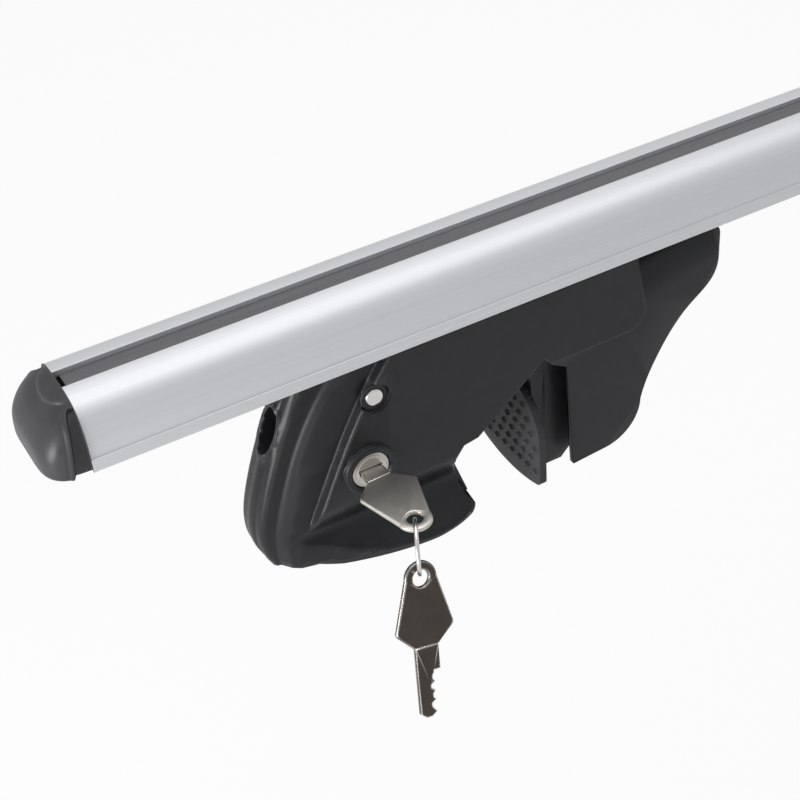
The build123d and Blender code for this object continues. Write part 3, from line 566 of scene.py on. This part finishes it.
def cap_mesh(side):
    """Closed skin of a cap with its two spigots."""
    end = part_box("bar_extrusion")[1][0]
    rows = cap_points(end)
    count = len(rows[0])
    faces = []
    for r in range(len(rows) - 1):
        for c in range(count - 1):
            faces.append((r * count + c, r * count + c + 1, (r + 1) * count + c + 1, (r + 1) * count + c))
        faces.append((r * count, (r + 1) * count, (r + 2) * count - 1, (r + 1) * count - 1))
    faces.append(tuple(range(count)))
    faces.append(tuple(range((len(rows) - 1) * count, len(rows) * count)))
    mesh = bpy.data.meshes.new(side + "_end_cap")
    mesh.from_pydata([point for row in rows for point in row], [], faces)
    work = bmesh.new()
    work.from_mesh(mesh)
    work.from_mesh(pushed(side_chambers(BAR_WALL + SPIGOT_GAP), end - CAP_SPIGOT, end))
    if side == "left":
        bmesh.ops.scale(work, verts=work.verts, vec=(-1, 1, 1))
    bmesh.ops.recalc_face_normals(work, faces=work.faces)
    work.to_mesh(mesh)
    work.free()
    return mesh


for side in SIDES:
    pieces[side + "_end_cap"] = dress(side + "_end_cap", cap_mesh(side), SHELL_CREASE)
print("caps", [len(pieces[side + "_end_cap"].data.polygons) for side in SIDES])

# %% [markdown]
# Screws repeat and threads follow a path, so trees of geometry nodes make them. These helpers start a tree with named
# sizes, close it with its finish, and grow a plain mesh from points, after which the modifier goes. Another finds the
# loose parts of a solid, because each screw's place comes from there.

# %% Helpers for geometry nodes
def new_tree(name, sizes, finish):
    """Tree with named size inputs. Gives the tree, its inputs, and a function that closes it."""
    tree = bpy.data.node_groups.new(name, "GeometryNodeTree")
    tree.interface.new_socket("Geometry", in_out="INPUT", socket_type="NodeSocketGeometry")
    tree.interface.new_socket("Geometry", in_out="OUTPUT", socket_type="NodeSocketGeometry")
    for size in sizes:
        tree.interface.new_socket(size, in_out="INPUT", socket_type="NodeSocketFloat")
    source = tree.nodes.new("NodeGroupInput")

    def close(geometry):
        real = add_node(tree, "GeometryNodeRealizeInstances", Geometry=geometry)
        painted = add_node(tree, "GeometryNodeSetMaterial", Geometry=real.outputs[0], Material=finishes[finish])
        add_node(tree, "NodeGroupOutput", Geometry=painted.outputs[0])
    return tree, source.outputs, close


def grow(tree, points, sizes):
    """Plain mesh that a tree makes from points and sizes."""
    mesh = bpy.data.meshes.new("points")
    mesh.from_pydata(points, [], [])
    carrier = bpy.data.objects.new("carrier", mesh)
    bpy.context.scene.collection.objects.link(carrier)
    modifier = carrier.modifiers.new("grow", "NODES")
    modifier.node_group = tree
    for socket in tree.interface.items_tree:
        if socket.in_out == "INPUT" and socket.name in sizes:
            modifier[socket.identifier] = sizes[socket.name]
    grown = bpy.data.meshes.new_from_object(carrier.evaluated_get(bpy.context.evaluated_depsgraph_get()))
    carrier.modifiers.clear()
    bpy.data.objects.remove(carrier)
    return grown


def math_node(tree, operation, first, second):
    node = tree.nodes.new("ShaderNodeMath")
    node.operation = operation
    for socket, value in zip(node.inputs, (first, second)):
        if isinstance(value, bpy.types.NodeSocket):
            tree.links.new(value, socket)
        else:
            socket.default_value = value
    return node.outputs[0]


def vector_node(tree, x, y, z):
    return add_node(tree, "ShaderNodeCombineXYZ", X=x, Y=y, Z=z).outputs[0]


def loose_boxes(node):
    """Lowest and highest corner of each loose part of a solid."""
    work = bmesh.new()
    work.from_mesh(nodes[node].data)
    bmesh.ops.remove_doubles(work, verts=work.verts, dist=MERGE)
    left = set(work.verts)
    boxes = []
    while left:
        group = [left.pop()]
        for vertex in group:
            near = {edge.other_vert(vertex) for edge in vertex.link_edges} & left
            left -= near
            group.extend(near)
        boxes.append([Vector([pick(v.co[i] for v in group) for i in range(3)]) for pick in (min, max)])
    work.free()
    return sorted(boxes, key=lambda box: box[0].x)


print("screws of one foot", len(loose_boxes("left_shell_screws")))

# %% [markdown]
# The shell screws come in from the rear and sit at the bottom of round pockets, so their heads show only from behind.
# The tree puts one screw on each point: a tapered head and a shank. The cross recess is what tells a screw from a
# rivet, so it is cut as real geometry. The arms' floors lie at two depths, because a cut by two boxes with a shared
# plane leaves slivers.

# %% Shell screws
HEAD_HEIGHT = 0.0024
SHANK_RADIUS = 0.0016
CROSS_LENGTH = 0.0036
CROSS_WIDTH = 0.0009
CROSS_DEPTH = 0.0014
HEAD_TAPER = 0.82
HEAD_SIDES = 40
SHANK_SIDES = 24
ARM_HEIGHTS = (2.0, 1.88)


def screw_tree():
    """Screws along -Y from points at the tops of their heads."""
    sizes = ("Head Radius", "Head Height", "Shank Radius", "Length", "Cross Length", "Cross Width", "Cross Depth")
    tree, size, close = new_tree("shell_screw", sizes, "zinc_steel")
    top = math_node(tree, "MULTIPLY", size["Head Radius"], HEAD_TAPER)
    head = add_node(tree, "GeometryNodeMeshCone", Vertices=HEAD_SIDES, Radius_Top=top,
                    Radius_Bottom=size["Head Radius"], Depth=size["Head Height"]).outputs["Mesh"]
    level = math_node(tree, "MULTIPLY", size["Head Height"], -1.0)
    head = add_node(tree, "GeometryNodeTransform", Geometry=head, Translation=vector_node(tree, 0.0, 0.0, level))
    cut = add_node(tree, "GeometryNodeMeshBoolean")
    cut.operation = "DIFFERENCE"
    tree.links.new(head.outputs[0], cut.inputs["Mesh 1"])
    arms = (("Cross Length", "Cross Width"), ("Cross Width", "Cross Length"))
    for (across, along), height in zip(arms, ARM_HEIGHTS):
        deep = math_node(tree, "MULTIPLY", size["Cross Depth"], height)
        box = add_node(tree, "GeometryNodeMeshCube", Size=vector_node(tree, size[across], size[along], deep))
        tree.links.new(box.outputs["Mesh"], cut.inputs["Mesh 2"])
    stem = math_node(tree, "SUBTRACT", size["Length"], size["Head Height"])
    shank = add_node(tree, "GeometryNodeMeshCylinder", Vertices=SHANK_SIDES, Radius=size["Shank Radius"], Depth=stem)
    middle = math_node(tree, "MULTIPLY", math_node(tree, "ADD", size["Length"], size["Head Height"]), -0.5)
    shank = add_node(tree, "GeometryNodeTransform", Geometry=shank.outputs["Mesh"],
                     Translation=vector_node(tree, 0.0, 0.0, middle))
    whole = tree.nodes.new("GeometryNodeJoinGeometry")
    tree.links.new(cut.outputs["Mesh"], whole.inputs[0])
    tree.links.new(shank.outputs[0], whole.inputs[0])
    laid = add_node(tree, "GeometryNodeTransform", Geometry=whole.outputs[0], Rotation=(-math.pi / 2, 0.0, 0.0))
    spots = add_node(tree, "GeometryNodeInstanceOnPoints", Points=size["Geometry"], Instance=laid.outputs[0])
    close(spots.outputs[0])
    return tree


screws = screw_tree()
for side in SIDES:
    node = side + "_shell_screws"
    boxes = loose_boxes(node)
    tops = [((low.x + high.x) / 2, high.y, (low.z + high.z) / 2) for low, high in boxes]
    reach = boxes[0][1] - boxes[0][0]
    grown = grow(screws, tops, {
        "Head Radius": reach.x / 2, "Head Height": HEAD_HEIGHT, "Shank Radius": SHANK_RADIUS, "Length": reach.y,
        "Cross Length": CROSS_LENGTH, "Cross Width": CROSS_WIDTH, "Cross Depth": CROSS_DEPTH})
    pieces[node] = dress(node, grown)
    print(node, len(grown.polygons), "faces", [tuple(round(c, 4) for c in top) for top in tops])

# %% [markdown]
# The clamp bolt draws the jaw along, so its shank is threaded. A thread follows a helix: a spiral curve with the
# thread's pitch is swept with a three-sided profile. The shank of the copy shrinks to the thread's root, so that the
# crest stays inside the solid and runs through the nut as before.

# %% Clamp bolts
THREAD_PITCH = 0.00125
THREAD_DEPTH = 0.0006
BOLT_RADIUS = 0.004
BOLT_HEAD = 0.008
HEAD_SLACK = 0.00001
SKIN_SLACK = 0.0001
THREAD_MARGIN = 0.002
THREAD_STEPS = 20
RIDGE_SIDES = 3
RIDGE_SINK = 0.75
RIDGE_SIZE = 0.7


def thread_tree():
    """Helical ridge along Z from its foot at the origin."""
    tree, size, close = new_tree("bolt_thread", ("Radius", "Pitch", "Length", "Depth"), "zinc_steel")
    turns = math_node(tree, "DIVIDE", size["Length"], size["Pitch"])
    path = add_node(tree, "GeometryNodeCurveSpiral", Resolution=THREAD_STEPS, Rotations=turns,
                    Start_Radius=size["Radius"], End_Radius=size["Radius"], Height=size["Length"])
    ridge = add_node(tree, "GeometryNodeCurvePrimitiveCircle", Resolution=RIDGE_SIDES, Radius=size["Depth"])
    swept = add_node(tree, "GeometryNodeCurveToMesh", Curve=path.outputs[0], Profile_Curve=ridge.outputs[0])
    swept.inputs["Fill Caps"].default_value = True
    close(swept.outputs[0])
    return tree


def root_change(axis, start):
    """Change that draws a bolt's shank in to the root of its thread."""
    def change(work):
        for vertex in work.verts:
            arm = Vector((0, vertex.co.y - axis.y, vertex.co.z - axis.z))
            past_head = abs(vertex.co.x - start) > BOLT_HEAD + HEAD_SLACK
            if past_head and arm.length > BOLT_RADIUS - SKIN_SLACK:
                vertex.co -= arm.normalized() * THREAD_DEPTH
    return change


threads = thread_tree()
for side, sign in zip(SIDES, (1, -1)):
    node = side + "_clamp_bolt"
    low, high = (Vector(corner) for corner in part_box(node))
    axis = (low + high) / 2
    start = low.x if sign > 0 else high.x
    pieces[node] = dress(node, smooth_copy(node, root_change(axis, start)))
    length = high.x - low.x - BOLT_HEAD - 2 * THREAD_MARGIN
    ridge = grow(threads, [(0, 0, 0)], {"Radius": BOLT_RADIUS - RIDGE_SINK * THREAD_DEPTH, "Pitch": THREAD_PITCH,
                                        "Length": length, "Depth": RIDGE_SIZE * THREAD_DEPTH})
    foot = start + sign * (BOLT_HEAD + THREAD_MARGIN)
    ridge.transform(Matrix.Translation((foot, axis.y, axis.z)) @ Matrix.Rotation(sign * math.pi / 2, 4, "Y"))
    pieces[side + "_bolt_thread"] = place_piece(side + "_bolt_thread", ridge, body_of[node], slot_of[node])
    print(node, "thread", len(ridge.polygons), "faces")

# %% [markdown]
# The cross pin stands in a round recess at each side of the foot. A black collar, which is not one of the frame's
# solids, lies round it on the recess's floor and closes the gap; its black is painted shade in the recess round the
# pin. It is a profile turned about the pin's axis, with chamfered rims.

# %% Pin collars
COLLAR_FLOOR = 0.0012
COLLAR_TOP = 0.0004
COLLAR_GAP = 0.0001
COLLAR_WIDTH = 0.0018
COLLAR_ROUND = 0.0002
COLLAR_STEPS = 48


def turned_ring(work, middle, profile, sign):
    """Adds a ring to a mesh: a closed profile of radius and height turned about an axis along Y."""
    rings = []
    for step in range(COLLAR_STEPS):
        turn = 2 * math.pi * step / COLLAR_STEPS
        rings.append([work.verts.new((middle.x + r * math.cos(turn), sign * y, middle.z + r * math.sin(turn)))
                      for r, y in profile])
    for first, second in zip(rings, rings[1:] + rings[:1]):
        for k in range(len(profile)):
            work.faces.new((first[k - 1], first[k], second[k], second[k - 1]))


for side in SIDES:
    low, high = (Vector(corner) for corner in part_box(side + "_cross_pin"))
    inner = (high.x - low.x) / 2 + COLLAR_GAP
    outer = inner + COLLAR_WIDTH
    base = high.y - COLLAR_FLOOR
    top = high.y - COLLAR_TOP
    profile = [(inner, base), (outer, base), (outer, top - COLLAR_ROUND), (outer - COLLAR_ROUND, top),
               (inner + COLLAR_ROUND, top), (inner, top - COLLAR_ROUND)]
    work = bmesh.new()
    for sign in (-1, 1):
        turned_ring(work, (low + high) / 2, profile, sign)
    bmesh.ops.recalc_face_normals(work, faces=work.faces)
    collar = bpy.data.meshes.new(side + "_pin_shade_collar")
    work.to_mesh(collar)
    work.free()
    name = side + "_pin_shade_collar"
    # The collar's black is painted shade in the recess round the pin.
    pieces[name] = place_piece(name, collar, body_of[side + "_cross_pin"], "black_plastic")
    print(side, "pin collar", len(collar.polygons), "faces")

# %% [markdown]
# All other visible solids are right as they are, so they only get a smooth copy with a finish. Pieces inside the foot
# that show through a gap at most keep the solid itself and take the finish in its slot.

# %% Dress the other solids
INNER = ("bracket", "slider_plate", "slider_screws", "bolt_washer", "jaw_nut", "lock_cam", "cam_screw")
SHELLS = ("front_shell", "rear_shell")

for node in sorted(nodes):
    kind = node.split("_", 1)[-1]
    if node in pieces:
        continue
    if kind in INNER:
        nodes[node].data.materials.clear()
        nodes[node].data.materials.append(finishes[slot_of[node]])
    else:
        pieces[node] = dress(node, crease=SHELL_CREASE if kind in SHELLS else CREASE)
print("pieces", len(pieces))

# %% [markdown]
# A pale floor lies well below the part, which hangs in its own frame as on a roof rail. The floor and the world are
# white to the camera and pale to reflections, and a share of plain diffuse keeps the soft shadow on the floor. The
# world lights the part as an even dome.

# %% Floor and world
FLOOR_DROP = 0.25
FLOOR_SIZE = 6.0
FLOOR_COLOR = (0.85, 0.85, 0.85)
FLOOR_ROUGHNESS = 0.9
FLOOR_WHITE = 0.9
DOME_COLOR = (0.95, 0.97, 1.0, 1.0)
DOME_STRENGTH = 0.4
MIRRORED = 0.55


def seen_rays(tree):
    """1 for what the camera sees, a share for what reflections see, and 0 for the rays that light the object."""
    path = tree.nodes.new("ShaderNodeLightPath")
    mirrored = math_node(tree, "MAXIMUM", path.outputs["Is Glossy Ray"], path.outputs["Is Transmission Ray"])
    share = math_node(tree, "MULTIPLY", mirrored, MIRRORED)
    return math_node(tree, "MAXIMUM", path.outputs["Is Camera Ray"], share)


def add_floor(height):
    bpy.ops.mesh.primitive_plane_add(size=FLOOR_SIZE, location=(0, 0, height))
    floor = bpy.context.object
    floor.name = "floor"
    material, tree, shader = new_finish("floor_white", FLOOR_COLOR, FLOOR_ROUGHNESS)
    white = add_node(tree, "ShaderNodeEmission", Strength=1.0)
    mix = tree.nodes.new("ShaderNodeMixShader")
    tree.links.new(math_node(tree, "MULTIPLY", seen_rays(tree), FLOOR_WHITE), mix.inputs[0])
    tree.links.new(shader.outputs[0], mix.inputs[1])
    tree.links.new(white.outputs[0], mix.inputs[2])
    tree.links.new(mix.outputs[0], tree.nodes["Material Output"].inputs["Surface"])
    floor.data.materials.append(material)
    return floor


def add_world():
    world = bpy.data.worlds.new("studio")
    bpy.context.scene.world = world
    world.use_nodes = True
    tree = world.node_tree
    dome = tree.nodes["Background"]
    dome.inputs["Color"].default_value = DOME_COLOR
    dome.inputs["Strength"].default_value = DOME_STRENGTH
    white = add_node(tree, "ShaderNodeBackground", Color=(1.0, 1.0, 1.0, 1.0), Strength=1.0)
    mix = tree.nodes.new("ShaderNodeMixShader")
    tree.links.new(seen_rays(tree), mix.inputs[0])
    tree.links.new(dome.outputs[0], mix.inputs[1])
    tree.links.new(white.outputs[0], mix.inputs[2])
    tree.links.new(mix.outputs[0], tree.nodes["World Output"].inputs["Surface"])


floor = add_floor(cad_box[0][2] - FLOOR_DROP)
add_world()
print("floor at", round(floor.location.z, 3))

# %% [markdown]
# Soft boxes light the part as in a product studio: a large one overhead and a little behind, which brightens the
# bar's top, one off the bar's end, which draws the pale lines on the foot's ridges, and a small weak one low in
# front, which lifts the lower side of the foot and the keys. Each lamp has its place from the foot, its size and its
# power.

# %% Lamps
SUBJECT = Vector((-0.45, 0.0, -0.05))
LAMPS = {"overhead": ((0.2, 0.2, 1.6), 1.6, 14), "left_end": ((-0.97, -0.2, 0.02), 0.35, 7),
         "low_front": ((-0.6, -0.72, -0.2), 0.25, 0.8)}


def soft_box(name, offset, size, power):
    data = bpy.data.lights.new(name, "AREA")
    data.shape = "SQUARE"
    data.size = size
    data.energy = power
    lamp = bpy.data.objects.new(name, data)
    bpy.context.scene.collection.objects.link(lamp)
    lamp.location = SUBJECT + Vector(offset)
    lamp.rotation_euler = (-Vector(offset)).to_track_quat("-Z", "Y").to_euler()
    lamp.visible_camera = False


for name, (offset, size, power) in LAMPS.items():
    soft_box(name, offset, size, power)

bpy.context.scene.view_settings.view_transform = "Standard"
print("lamps", list(LAMPS))
